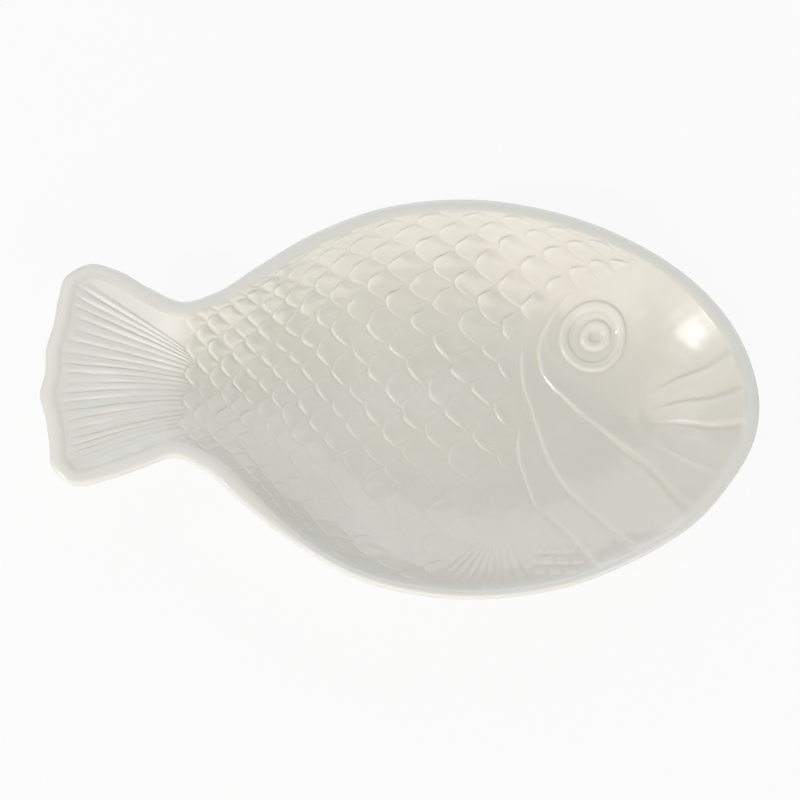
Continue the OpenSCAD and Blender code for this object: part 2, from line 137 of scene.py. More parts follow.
# Ridges and folds of the head, in millimetres in the platter's frame
EYE_MIDDLE = (116.0, 47.8)
IRIS_MIDDLE = (117.8, 48.5)
CHEEK_PATH = [
    (98, 68), (88, 55), (83, 42), (85, 30), (91, 18), (101, 8.5), (121, -7), (146, -32), (172, -70),
]
GILL_COVER_PATH = [(73, 50), (73, 36), (75, 19), (80, 0), (88, -21), (100, -46), (119, -69), (143, -93)]
GILL_FOLD_PATH = [(74, 0), (72, -18), (75, -36), (82, -57), (97, -75), (120, -103)]
JAW_PATH = [(146, 10), (144, -2), (148, -13), (155, -22), (164, -29)]
PATH_STEPS = 10
# Shares of its length over which a fold fades in and out, and the same share for the jaw's ridge
FOLD_START = 0.25
FOLD_STOP = 0.03
JAW_FADE = 0.3

# Eye's outer ring and iris: distance from the middle, then rise as a share of the eye's rise
EYE_PROFILE = [
    (0, 0), (14.4, 0.05), (15.3, 0.65), (16.4, 0.9), (18.8, 0.85), (19.7, 0.5), (20.5, -0.15), (22.0, -0.15), (25.0, 0),
    (40.0, 0),
]
IRIS_PROFILE = [
    (0, -0.25), (2.4, -0.2), (3.8, 0.2), (4.8, 0.8), (5.8, 0.95), (7.6, 0.85), (8.5, 0.45), (9.3, -0.15), (10.4, -0.15),
    (12.5, 0), (40.0, 0),
]
# Pleats of the mouth: degrees about their middle, then rise as a share of the folds' rise
MOUTH_MIDDLE = (120.0, 0.0)
MOUTH_PLEATS = [
    (-90, 0), (-48, 0), (-33.8, 0.55), (-31.2, 0.1), (-19.5, 0.8), (-9.8, -0.6), (-7.4, 0.45), (4.8, 0.95), (7.2, 0.05),
    (21.3, 0.85), (23.7, 0.0), (40, 0), (90, 0),
]
# Step of the tables that are made from these, and the rounding of their corners
TABLE_STEP = 0.1
EYE_SPREAD = 0.3
MOUTH_SPREAD = 0.6

# Scales: first column, last column, length with its least and its share of the half width, least half width of the
# rows, and the bend of the rows up the sides
SCALE_START = -129.0
SCALE_STOP = 150.0
SCALE_PITCH = -2.6
SCALE_PITCH_SHARE = 0.148
SCALE_LEAST = 7.2
ROW_LEAST = 60.0
SCALE_BEND = math.radians(70)
RELIEF_MARGIN = 2.0
# Head's edge of the scales: across, then along
HEAD_EDGE = [
    (-113, 14), (-100, 34), (-85, 48), (-72, 58), (-58, 73), (-43, 71), (-21, 66), (0, 68), (20, 69), (46, 68),
    (56, 78), (70, 92), (78, 122), (88, 144), (105, 152),
]

# Tail fan: the lowest and highest ray at its root and end, the bow of the rays, and their crests from the lowest up
RAY_ROOT_X = -124.0
RAY_END_X = -200.0
RAY_ROOTS = (-27.5, 19.6)
RAY_ENDS = (-62.0, 66.0)
RAY_LIFT = 0.62
RAY_BOW = 3.0
RAY_CRESTS = (
    -0.005, 0.038, 0.078, 0.115, 0.153, 0.205, 0.269, 0.308, 0.357, 0.413,
    0.459, 0.511, 0.557, 0.620, 0.678, 0.747, 0.803, 0.857, 0.909, 0.961,
)

# Belly fin: hub, first and last direction, and the small scales beside it
FIN_HUB = (62.0, -73.0)
FIN_TURN = (math.radians(223), math.radians(296))
BRICK_CORNERS = ((79.0, -107.0), (115.0, -84.0))

# Parts of the dish: lines, shares across, columns and rows of the mesh, and the CAD nodes they stand for
THIRD = 1 / 3
HEAD, BODY = (0.0, HEAD_LINE), (HEAD_LINE, BODY_LINE)
NECK, TAIL = (BODY_LINE, NECK_LINE), (NECK_LINE, 1.0)
DISH_PARTS = (
    ("brow", HEAD, (1, 0), 300, 300, ["eye_socket_ring", "eye_iris_ring", "eye_pupil", "upper_lip_fold"]),
    (
        "cheek", HEAD, (0, -1), 300, 300,
        ["cheek_ridge", "gill_cover_ridge", "gill_fold", "middle_lip_fold", "lower_lip_fold", "jaw_ridge"],
    ),
    ("back", BODY, (1, THIRD), 420, 200, ["back_scales", "lateral_scales"]),
    ("flank", BODY, (THIRD, -THIRD), 420, 200, ["dish_shell", "flank_scales"]),
    ("belly", BODY, (-THIRD, -1), 420, 200, ["belly_scales", "belly_fin_rays"]),
    ("neck", NECK, (1, -1), 150, 600, ["tail_root_scales"]),
    ("tail_fin", TAIL, (1, -1), 250, 300, ["tail_shell", "tail_rays"]),
)
# Lines and rows past a part's ends, which give its surface the neighbours there
SPARE = 6
# Passes that smooth the tail's pan, and that find where the glaze pools
PAN_PASSES = 120
POOL_PASSES = 16

# Lamps: azimuth and elevation in degrees, width and height in metres, the property with the power, and the colour
LAMP_DISTANCE = 2.2
LAMP_TARGET_HEIGHT = 0.03
LAMPS = (
    ("front left window", 226, 21, (2.2, 1.3), "left_power", (1.0, 0.98, 0.89)),
    ("front right window", 289, 21, (2.8, 1.6), "right_power", (1.0, 0.98, 0.89)),
    ("side window", 159, 50, (1.7, 1.3), "side_power", (1.0, 0.92, 0.78)),
    ("high window", 252, 50, (1.3, 1.1), "high_power", (1.0, 0.82, 0.72)),
    ("far wall", 72, 20, (4.2, 2.0), "far_power", (0.95, 0.96, 1.0)),
    ("end wall", 2, 20, (1.2, 0.85), "end_power", (1.0, 0.98, 0.7)),
    ("glint", 205, 33, (0.07, 0.09), "glint_power", (1.0, 0.99, 0.97)),
)
SKY_COLOUR = (0.78, 0.91, 1.0)
FLOOR_COLOUR = (0.9, 0.9, 0.9)
WHITE = (1, 1, 1)
FLOOR_HALF = 6.0
# Rays that see the surroundings as plain white
WHITE_RAYS = ("Camera", "Glossy", "Transmission")
CAMERA_PLACE = (0.0126, -0.2832, 0.8960)
CAMERA_TARGET = (0.0005, -0.0054, 0.0400)
CAMERA_SENSOR = 36.0
CAMERA_CLIP = (0.01, 20.0)


def ease(share):
    """Smooth step from 0 to 1."""
    held = np.clip(share, 0, 1)
    return held * held * (3 - 2 * held)


def smooth_table(points, spread):
    """A table for look-up: straight runs between points, with their corners rounded."""
    places, values = np.array(points, float).T
    fine = np.arange(places[0], places[-1], TABLE_STEP)
    reach = int(4 * spread / TABLE_STEP)
    kernel = np.exp(-0.5 * (np.arange(-reach, reach + 1) * TABLE_STEP / spread)**2)
    rounded = np.convolve(np.pad(np.interp(fine, places, values), reach, "edge"), kernel / kernel.sum(), "valid")
    return fine, rounded


def at_least(value, least, blend):
    """A value that levels out softly above a least one."""
    return least + blend * np.logaddexp(0, (value - least) / blend)


def curve_through(before, p, q, after, steps):
    """Points of smooth spans from p to q, with tangents weighted by the chords on both sides."""
    def tangent(a, b, c):
        d = np.linalg.norm(b - a, axis=1)[:, None]
        e = np.linalg.norm(c - b, axis=1)[:, None]
        return ((b - a) * e / d + (c - b) * d / e) / (d + e)

    span = np.linalg.norm(q - p, axis=1)[:, None]
    m, n = tangent(before, p, q) * span, tangent(p, q, after) * span
    s = np.arange(steps)[:, None, None] / steps
    spans = (
        p * (2 * s**3 - 3 * s**2 + 1) + m * (s**3 - 2 * s**2 + s)
        + q * (3 * s**2 - 2 * s**3) + n * (s**3 - s**2)
    )
    return spans.transpose(1, 0, 2).reshape(-1, 2)


def smooth_loop(points, steps):
    """Closed smooth curve through points."""
    p = np.asarray(points, float)
    return curve_through(np.roll(p, 1, 0), p, np.roll(p, -1, 0), np.roll(p, -2, 0), steps)


def smooth_path(points, steps):
    """Open smooth curve through points."""
    p = np.asarray(points, float)
    ends = np.vstack([2 * p[0] - p[1], p, 2 * p[-1] - p[-2]])
    curve = curve_through(ends[:-3], ends[1:-2], ends[2:-1], ends[3:], steps)
    return np.vstack([curve, p[-1]])


class Outline:
    """The platter's outline with even steps, its inward directions, and the distance from it."""

    def __init__(self):
        curve = smooth_loop(OUTLINE_SHARES, OUTLINE_STEPS)
        low, high = curve.min(0), curve.max(0)
        room = HIGH[:2] - LOW[:2] - 2 * BOX_ROOM
        curve = LOW[:2] + BOX_ROOM + (curve - low) * room / (high - low)
        closed = np.vstack([curve, curve[0]])
        runs = np.r_[0, np.cumsum(np.linalg.norm(np.diff(closed, axis=0), axis=1))]
        steps = np.linspace(0, runs[-1], OUTLINE_COUNT, endpoint=False)
        self.points = np.stack([np.interp(steps, runs, closed[:, axis]) for axis in (0, 1)], 1)
        ahead = np.roll(self.points, -OUTLINE_SPREAD, 0) - np.roll(self.points, OUTLINE_SPREAD, 0)
        ahead /= np.linalg.norm(ahead, axis=1)[:, None]
        self.inward = np.stack([-ahead[:, 1], ahead[:, 0]], 1)
        self.edge = self.points[::EDGE_EVERY]

    def inset(self, share, depth):
        """Points at a share of the way round, set inwards by a depth."""
        place = np.mod(share, 1) * OUTLINE_COUNT
        low = np.floor(place).astype(int)
        part = (place - low)[..., None]
        low, high = low % OUTLINE_COUNT, (low + 1) % OUTLINE_COUNT
        spot = self.points[low] * (1 - part) + self.points[high] * part
        inward = self.inward[low] * (1 - part) + self.inward[high] * part
        return spot + inward * np.asarray(depth)[..., None]

    def distance(self, p):
        """Least distance from points to the outline."""
        a = self.edge
        ab = np.roll(a, -1, 0) - a
        length = (ab * ab).sum(1)
        found = np.empty(len(p))
        for start in range(0, len(p), 4000):
            q = p[start:start + 4000]
            dx, dy = q[:, :1] - a[:, 0], q[:, 1:] - a[:, 1]
            s = np.clip((dx * ab[:, 0] + dy * ab[:, 1]) / length, 0, 1)
            gap = (dx - s * ab[:, 0])**2 + (dy - s * ab[:, 1])**2
            found[start:start + 4000] = np.sqrt(gap.min(1))
        return found


OUTLINE = Outline()


class Form:
    """The dish in numbers: bowl, underside and relief, from the sizes in the scene's properties."""

    def __init__(self, sizes):
        for name in sizes.bl_rna.properties.keys():
            if name not in ("rna_type", "name"):
                value = getattr(sizes, name)
                setattr(self, name, value / MM if isinstance(value, float) else value)
        self.floor_depth = HEIGHT - self.foot_height - self.wall
        share = np.linspace(0, NECK_LINE / 2 + 0.01, 800)
        self.upper = OUTLINE.inset(share, np.full(share.shape, self.band))[::-1]
        self.lower = OUTLINE.inset(-share, np.full(share.shape, self.band))[::-1] * (1, -1)
        # Share of the way round at each line of the spine, above and below
        places = [x for _, x in SPINE[1:-1]]
        self.round = [
            np.r_[0, np.interp(places, edge[:, 0], share[::-1]), 0.5] for edge in (self.upper, self.lower)
        ]
        columns = [SCALE_START]
        while columns[-1] < SCALE_STOP:
            columns.append(columns[-1] + self.pitch(columns[-1]))
        self.columns = np.array(columns)
        self.eye_table = smooth_table(EYE_PROFILE, EYE_SPREAD)
        self.iris_table = smooth_table(IRIS_PROFILE, EYE_SPREAD)
        self.mouth_table = smooth_table(MOUTH_PLEATS, MOUTH_SPREAD)

    # Bowl

    def body_part(self, x, end):
        return ease((x - NECK_START) / (end - NECK_START))

    def reach(self, x):
        return TAIL_REACH + (BOWL_REACH - TAIL_REACH) * self.body_part(x, REACH_END)

    def fall(self, x):
        """Fall of the bowl from the dish's edge to its floor."""
        depth = self.tail_depth + (self.floor_depth - self.tail_depth) * self.body_part(x, NECK_END)
        return depth / (1 + (self.band - self.crest) / self.reach(x))

    def near(self, x, y):
        """How far the bowl widens into the lip on the belly's side."""
        side, body = NEAR_SIDE, NEAR_BODY
        return self.near_shift * ease((-y - side[0]) / side[1]) * ease((x - body[0]) / body[1])

    def hollow(self, d, x, y):
        """Height of the dish at a distance from the outline: a bowl that runs out level at the lip's crest."""
        reach, run = self.reach(x), self.band - self.crest
        d = d + self.near(x, y)
        lip = np.clip((d - self.crest) / run, 0, 1)
        share = np.clip((d - self.band) / reach, 0, 1)
        return HEIGHT - self.fall(x) * (run / reach * lip**2 + 1 - (1 - share)**2)

    def underside(self, d, x, y):
        d = np.maximum(d, self.band)
        share = (d + self.near(x, y) - self.band) / self.reach(x)
        slope = 2 * self.fall(x) / self.reach(x) * (1 - np.minimum(share, 1))
        return self.hollow(d, x, y) - self.wall * np.sqrt(1 + slope**2)

    # Places

    def line_spot(self, line, across):
        """Point of the dish on a line, from the spine (0) to the lip above it (1) or below it (-1)."""
        turned = (line < 0) | (line > 1)
        line = np.where(line < 0, -line, np.where(line > 1, 2 - line, line))
        across = np.where(turned, -across, across)
        lines = [knot for knot, _ in SPINE]
        spine = np.interp(line, lines, [x for _, x in SPINE])
        middle = np.stack([spine, np.zeros_like(spine)], -1)
        above, below = (np.interp(line, lines, places) for places in self.round)
        shoulder = OUTLINE.inset(np.where(across < 0, -below, above), np.full(line.shape, self.band))
        return middle + (shoulder - middle) * np.abs(across)[..., None]

    def half(self, x, y):
        edge = np.where(
            np.asarray(y) < 0, np.interp(x, *self.lower.T), np.interp(x, *self.upper.T)
        )
        return edge - RELIEF_MARGIN

    def pitch(self, x):
        """Length of a column of scales."""
        share = SCALE_PITCH + SCALE_PITCH_SHARE * (self.half(x, -1) + self.half(x, 1)) / 2
        return at_least(share, SCALE_LEAST, 0.8)

    # Relief

    def scales(self, x, y):
        """Rise of the overlapping scales, and where they cover the dish."""
        wave = (
            0.1 * np.sin(x / 19 + y / 31 + 0.6) + 0.1 * np.sin(y / 13 - x / 41 + 2.1)
            + 0.05 * np.sin(y / 2.3 + x / 3.1)
        )
        sway = 0.1 * np.sin(y / 17 + x / 23 + 1.7) + 0.07 * np.sin(x / 9 - y / 12 + 0.3)
        half = at_least(self.half(x, y), ROW_LEAST, 5.0)
        column = np.interp(x, self.columns, np.arange(len(self.columns)))
        pitch = np.interp(x, self.columns, self.pitch(self.columns))
        column = np.where(column > 0, column + wave * np.minimum(column, 1), 0)
        sine = np.clip(y / half * math.sin(SCALE_BEND), -0.995, 0.995)
        row = self.scale_rows * np.arcsin(sine) / SCALE_BEND + sway
        rise = half * np.sqrt(1 - sine**2) * SCALE_BEND / self.scale_rows / math.sin(SCALE_BEND)
        low = np.floor(column)
        part = column - low

        def scale(number):
            first = 1 - self.scale_rows + np.mod(number + 1, 2)
            nearest = first + 2 * np.round((row - first) / 2)
            chance = np.mod(np.sin(number * 12.9898 + nearest * 78.233) * 43758.5453, 1)
            shift = 0.3 * (chance - 0.5) * (number > 1)
            return row - nearest, chance, part + shift + low + 1 - number - (row - nearest)**2

        ahead, behind = scale(low + 1), scale(low)
        front = ahead[2] >= 0
        number = np.where(front, low + 1, low)
        across, chance, along = (np.where(front, *pair) for pair in zip(ahead, behind))
        steepness = np.sqrt((1 / pitch)**2 + (2 * across / np.maximum(rise, 1))**2)
        gap = along / steepness
        run = along / np.maximum(2 - 2 * np.abs(across), 0.25)
        run = np.clip(run, 0, 1)
        # The scales stand out on the back towards the tail, and the glaze fills them on the belly
        back = ease((-30 - x) / 70) * ease((y + 35) / 55)
        bold = 0.45 + 0.12 * ease((y + 65) / 65) + 0.45 * back
        patch = 0.7 + 0.4 * np.sin(x / 4.1 + 1.7 * np.sin(y / 5.3)) * np.sin(y / 3.7 + 1.1 * np.sin(x / 6.1))
        lap = (1 - run) * (1 + 0.8 * run) * (1 - 0.4 * across**2)
        dome = np.sin(np.pi * run**0.7) * (1 - 0.8 * across**2)
        lift = (0.45 * lap * (1 - back) + dome * back) * (0.6 + 0.8 * chance)
        # A bead of glaze stands on the lower half of each edge, and towards the back's lip on the upper half
        spot = 0.85 * ease((y - 35) / 30) - 0.45
        bead = np.exp(-((across - spot) / 0.36)**2) * (1 - run)**1.5 * ease(gap / 2.0)
        bead = bead * ease((y + 50) / 50) * (0.7 + 0.6 * chance) * (1 - 0.3 * back)
        height = self.scale_rise * (bold * patch * lift * ease(gap / (1.4 + 0.4 * back)) + bead)
        cover = (number >= 1) * ease((np.interp(y, *np.array(HEAD_EDGE).T) - x) / 8)
        return height * cover, cover

    def path_places(self, p, path, spread):
        """Points near a path: which they are, how far along it, and how far on its left side."""
        line = smooth_path(path, PATH_STEPS)
        near = np.all((p > line.min(0) - spread) & (p < line.max(0) + spread), axis=1).nonzero()[0]
        q, a = p[near], line[:-1]
        ab = line[1:] - a
        dx, dy = q[:, :1] - a[:, 0], q[:, 1:] - a[:, 1]
        s = np.clip((dx * ab[:, 0] + dy * ab[:, 1]) / (ab * ab).sum(1), 0, 1)
        gx, gy = dx - s * ab[:, 0], dy - s * ab[:, 1]
        gap = gx * gx + gy * gy
        nearest = gap.argmin(1)
        row = np.arange(len(near))
        side = ab[nearest, 0] * dy[row, nearest] - ab[nearest, 1] * dx[row, nearest]
        along = (nearest + s[row, nearest]) / len(a)
        return near, along, np.where(side < 0, -1, 1) * np.sqrt(gap[row, nearest])

    def fold(self, p, path, rise, lap):
        """A lapped fold: its free edge faces the path's right side, and it runs out to the left."""
        height = np.zeros(len(p))
        near, along, left = self.path_places(p, path, 3.5 * lap)
        fade = ease(along / FOLD_START) * ease((1 - along) / FOLD_STOP)
        fade = fade * (0.8 + 0.2 * np.sin(along * 23 + lap))
        left = left + 0.5 * np.sin(along * 19 + lap) + 0.15 * np.sin(along * 47 + 2 * lap)
        width = 2.0 - 0.5 * np.sin(along * 17 + 1.5 * lap) + 3.0 * ease((along - 0.5) / 0.4)
        step = ease(left / width + 0.5) * np.exp(-(np.maximum(left, 0) / lap)**1.3)
        hollow = 0.2 * np.exp(-((left + 3.2) / 2.6)**2)
        height[near] = rise * fade * (step - hollow)
        return height

    def ridge(self, p, path, rise, width, fade):
        """A round ridge that fades in and out over a share of its length."""
        height = np.zeros(len(p))
        near, along, left = self.path_places(p, path, 4 * width)
        fade = ease(along / fade) * ease((1 - along) / fade)
        height[near] = rise * fade * np.exp(-(left / width)**2)
        return height

    def eye(self, p):
        """Rings of the eye, and a faint lid on its tail side."""
        dx, dy = (p - np.array(EYE_MIDDLE)).T
        out = np.hypot(dx, dy)
        turn = np.arctan2(dy, dx)
        uneven = 0.25 * np.sin(2 * turn + 0.7) + 0.2 * np.sin(3 * turn + 2.0)
        lid = 0.3 * np.exp(-((out - 27.5) / 1.5)**2) * ease((-dx - 8) / 12) * ease((dy + 14) / 10)
        iris = np.linalg.norm(p - np.array(IRIS_MIDDLE), axis=1) - 0.6 * uneven
        return self.eye_rise * (
            np.interp(out + uneven, *self.eye_table) + np.interp(iris, *self.iris_table) + lid
        )

    def mouth(self, p):
        """Pleats that fan out from the jaw to the lip."""
        dx, dy = (p - np.array(MOUTH_MIDDLE)).T
        out = np.hypot(dx, dy)
        turn = np.degrees(np.arctan2(dy, dx))
        sway = 1.6 * np.sin(out / 9.0) * np.exp(-((out - 55) / 25)**2)
        pleats = np.interp(turn + sway, *self.mouth_table) * ease((out - 30) / 22) * (dx > 0)
        return self.fold_rise * (pleats + self.ridge(p, JAW_PATH, 0.3, 4.0, JAW_FADE))

    def tail_rays(self, x, y, distance):
        """Fan of uneven rays from the neck to the end of the tail."""
        along = np.clip((RAY_ROOT_X - x) / (RAY_ROOT_X - RAY_END_X), 0, 1.1)
        root, spread = RAY_ROOTS[0], RAY_ROOTS[1] - RAY_ROOTS[0]
        end, end_spread = RAY_ENDS[0], RAY_ENDS[1] - RAY_ENDS[0]
        bow = RAY_BOW * 4 * along * (1 - along)
        share = np.full(len(x), 0.5)
        for _ in range(8):
            lifted = share + RAY_LIFT * share * (1 - share)
            found = (1 - along) * (root + spread * lifted) + along * (end + end_spread * share) + bow * (1 - share)
            steep = (1 - along) * spread * (1 + RAY_LIFT * (1 - 2 * share)) + along * end_spread - bow
            share = np.clip(share - (found - y) / np.maximum(steep, 10), -0.5, 1.3)
        wander = 0.003 * np.sin(along * 5 + share * 40)
        crest = np.interp(share + wander * along, RAY_CRESTS, np.arange(len(RAY_CRESTS)))
        number = np.round(crest)
        strength = 0.74 + 0.16 * np.sin(number * 2.4 + 0.5) + 0.14 * np.sin(along * 6 + number * 1.9)
        strength = strength * (0.5 + 0.5 * ease(number / 3))
        side = np.abs(crest - number) * 2
        height = strength * (1 - side)**1.2 * (1 + 1.2 * side)
        inside = ease((share - RAY_CRESTS[0]) / 0.03 + 1) * ease((RAY_CRESTS[-1] - share) / 0.03 + 1)
        blunt = self.crest + 1.0 + 2.5 * (1 + np.sin(number * 5.1 + 0.4))
        ends = ease((RAY_ROOT_X - x) / 5) * ease((distance - blunt) / 9)
        return self.ray_rise * (0.45 + 0.55 * ease(along * 1.3)) * height * inside * ends

    def belly_fin(self, x, y):
        """Fan of fine rays from a hub to the lower lip, and a patch of small square scales."""
        dx, dy = x - FIN_HUB[0], y - FIN_HUB[1]
        turn = np.mod(np.arctan2(dy, dx), 2 * np.pi)
        share = (turn - FIN_TURN[0]) / (FIN_TURN[1] - FIN_TURN[0])
        out = np.hypot(dx, dy)
        wide = np.clip(share, 0, 1)
        uneven = self.fin_count * (1.35 * wide - 0.35 * wide**2)
        crest = 1 - np.abs(2 * np.mod(uneven, 1) - 1)
        fade = ease((out - 9) / 14) * ease((46 - out) / 6) * ease(share / 0.05) * ease((1 - share) / 0.05)
        rays = self.fin_rise * ease(crest * 1.2) * fade
        (x0, y0), (x1, y1) = BRICK_CORNERS
        level = (y - y0) / (y1 - y0) * 3
        place = (x - x0) / (x1 - x0) * 4 + 0.5 * np.mod(np.floor(level), 2)
        pillow = ease((1 - np.abs(2 * np.mod(level, 1) - 1)) * 1.5) * ease((1 - np.abs(2 * np.mod(place, 1) - 1)) * 2)
        inside = ease((x - x0) / 5) * ease((x1 - x) / 8) * ease((y - y0) / 5) * ease((y1 - y) / 7)
        return rays + 1.3 * self.fin_rise * pillow * inside

    def relief(self, p, distance):
        """Rise of all that is moulded on the dish."""
        x, y = p.T
        scales, cover = self.scales(x, y)
        swell = (
            0.22 * np.sin(x / 27 + 1.0) * np.sin(y / 21 + 0.4) + 0.12 * np.sin(x / 11 + y / 17)
            + 0.06 * np.sin(x / 2.7 + 1.3 * np.sin(y / 6)) * np.sin(y / 3.1 + 0.9 * np.sin(x / 7))
        )
        folds = (
            self.fold(p, CHEEK_PATH, self.cheek_rise, 13.0)
            + self.fold(p, GILL_COVER_PATH, self.gill_rise, 9.0)
            + self.fold(p, GILL_FOLD_PATH, 0.8 * self.gill_rise, 8.0)
        )
        rays = self.tail_rays(x, y, distance) * (1 - cover) * (x < RAY_ROOT_X + 4)
        return scales + swell + folds + self.eye(p) + self.mouth(p) + rays + self.belly_fin(x, y)

    def raised(self, p, distance):
        """Height of the dish with its relief, which runs out to nothing towards the lip's crest."""
        base = self.hollow(distance, *p.T)
        start = self.crest + RELIEF_START
        rise = self.relief(p, distance) * ease((distance + self.near(*p.T) - start) / RELIEF_RUN)
        room = np.maximum(HEIGHT - base, 1e-4)
        return base, np.where(rise > 0, room * (1 - np.exp(-np.maximum(rise, 0) / room)), rise)


def shaped_grid(columns, rows, flat_rows=()):
    """Grid of quads with its column and row shares; the faces of flat rows are shaded flat."""
    bm = bmesh.new()
    bmesh.ops.create_grid(bm, x_segments=columns, y_segments=rows, size=1.0)
    for number, face in enumerate(bm.faces):
        face.smooth = number // columns not in flat_rows
    return bm


def move_vertices(bm, spots, facing, glaze):
    """Sets the grid's vertices to spots in millimetres, the way each faces and how thick its glaze lies; on the tail
    and the lip that glaze also carries painted light.
    """
    layer = bm.verts.layers.float.new("glaze")
    normal = bm.verts.layers.float_vector.new("facing")
    rows = zip(bm.verts, (spots * MM).tolist(), facing.tolist(), glaze.tolist())
    for vert, spot, way, depth in rows:
        vert.co = spot
        vert[normal] = way
        vert[layer] = depth


def grid_facing(spots):
    """Upward directions of a grid of spots, from the neighbours on all sides."""
    way = np.cross(np.gradient(spots, axis=1), np.gradient(spots, axis=0))
    way *= np.where(way[..., 2:] < 0, -1, 1)
    return way / np.maximum(np.linalg.norm(way, axis=-1, keepdims=True), 1e-12)


def close_up(bm):
    """Welds the grid's meeting edges, fills its open ends and turns its faces outwards."""
    bmesh.ops.remove_doubles(bm, verts=bm.verts, dist=2e-6)
    open_edges = [edge for edge in bm.edges if edge.is_boundary]
    if open_edges:
        ends = bmesh.ops.edgeloop_fill(bm, edges=open_edges)["faces"]
        bmesh.ops.triangulate(bm, faces=ends, ngon_method="EAR_CLIP")
    bmesh.ops.recalc_face_normals(bm, faces=bm.faces)
    if any(not edge.is_manifold for edge in bm.edges):
        raise RuntimeError("a piece of the platter is not closed")


def add_piece(bm, name, material, nodes):
    """Makes an object of a bmesh that stands for CAD nodes."""
    mesh = bpy.data.meshes.new(name)
    bm.to_mesh(mesh)
    bm.free()
    # The seams between pieces are shaded as one surface; a zero leaves a corner as it is
    corners = np.empty(len(mesh.loops), int)
    mesh.loops.foreach_get("vertex_index", corners)
    facing = np.empty((len(mesh.vertices), 3), np.float32)
    mesh.attributes["facing"].data.foreach_get("vector", facing.ravel())
    smooth = np.empty(len(mesh.polygons), bool)
    mesh.polygons.foreach_get("use_smooth", smooth)
    sizes = np.empty(len(mesh.polygons), int)
    mesh.polygons.foreach_get("loop_total", sizes)
    ways = facing[corners] * np.repeat(smooth, sizes)[:, None]
    mesh.attributes.remove(mesh.attributes["facing"])
    mesh.normals_split_custom_set(ways)
    piece = bpy.data.objects.new(name, mesh)
    bpy.context.scene.collection.objects.link(piece)
    mesh.materials.append(material)
    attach(piece, "root")
    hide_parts(*nodes)
    return piece


def soften(heights, passes):
    """Spreads heights over the neighbouring vertices, as the glaze does."""
    for _ in range(passes):
        for axis in (0, 1):
            padded = np.pad(heights, [(1, 1) if axis == a else (0, 0) for a in (0, 1)], "edge")
            count = padded.shape[axis]
            low = np.take(padded, range(count - 2), axis)
            high = np.take(padded, range(2, count), axis)
            heights = 0.25 * low + 0.5 * heights + 0.25 * high
    return heights


def dish_part(form, name, lines, sides, columns, rows, material, nodes):
    """A closed part of the dish between two lines and two shares across: relief above, plain wall below."""
    under_rows = max(6, rows // 32)
    top = np.linspace(*sides, rows + 1)
    below = np.linspace(*sides[::-1], under_rows + 1)
    bm = shaped_grid(columns, rows + under_rows + 2, flat_rows=(rows, rows + under_rows + 1))
    share = np.arange(-SPARE, columns + SPARE + 1) / columns
    line = lines[0] + (lines[1] - lines[0]) * share
    line, across = np.meshgrid(line, np.r_[2 * top[0] - top[SPARE:0:-1], top, 2 * top[-1] - top[-2:-SPARE - 2:-1]])
    spots = form.line_spot(line, across)
    places = spots.reshape(-1, 2)
    distance = OUTLINE.distance(places)
    base, rise = (heights.reshape(across.shape) for heights in form.raised(places, distance))
    inner = ease((distance - form.band) / 14) * ease((RAY_ROOT_X - 9 - places[:, 0]) / 15)
    base = base + (soften(base, PAN_PASSES) - base) * inner.reshape(across.shape)
    pooled = soften(rise, POOL_PASSES) - rise
    upper = np.dstack([spots, base + rise])
    facing = grid_facing(upper)
    keep = slice(SPARE, -SPARE), slice(SPARE, -SPARE)
    upper, facing = upper[keep], facing[keep]
    # Painted light: the tail's glaze is set thin, which paints the tail paler to stand for the brighter light it
    # catches
    painted_tail_light = 0.3 * ease((RAY_ROOT_X - places[:, 0]) / 20).reshape(across.shape)
    glaze = np.clip(EVEN_GLAZE + 1.1 * pooled - painted_tail_light, 0, 1)[keep]
    line, across = np.meshgrid(lines[0] + (lines[1] - lines[0]) * np.arange(columns + 1) / columns, below)
    spots = form.line_spot(line, across)
    places = spots.reshape(-1, 2)
    under = form.underside(OUTLINE.distance(places), *places.T).reshape(across.shape)
    lower = np.dstack([spots, under])
    move_vertices(
        bm, np.concatenate([upper, lower, upper[:1]]).reshape(-1, 3),
        np.concatenate([facing, np.zeros_like(lower), facing[:1]]).reshape(-1, 3),
        np.concatenate([glaze, np.full(under.shape, EVEN_GLAZE), glaze[:1]]).reshape(-1),
    )
    close_up(bm)
    return add_piece(bm, name, material, nodes)


class Value:
    """A number that varies over a surface: sums on it add Math nodes."""

    def __init__(self, finish, socket):
        self.finish = finish
        self.socket = socket

    def _math(self, operation, first, second):
        return self.finish.node("ShaderNodeMath", {"operation": operation}, {0: first, 1: second})

    def __add__(self, other):
        return self._math("ADD", self, other)

    def __sub__(self, other):
        return self._math("SUBTRACT", self, other)

    def __rsub__(self, other):
        return self._math("SUBTRACT", other, self)

    def __mul__(self, other):
        return self._math("MULTIPLY", self, other)

    __radd__ = __add__
    __rmul__ = __mul__


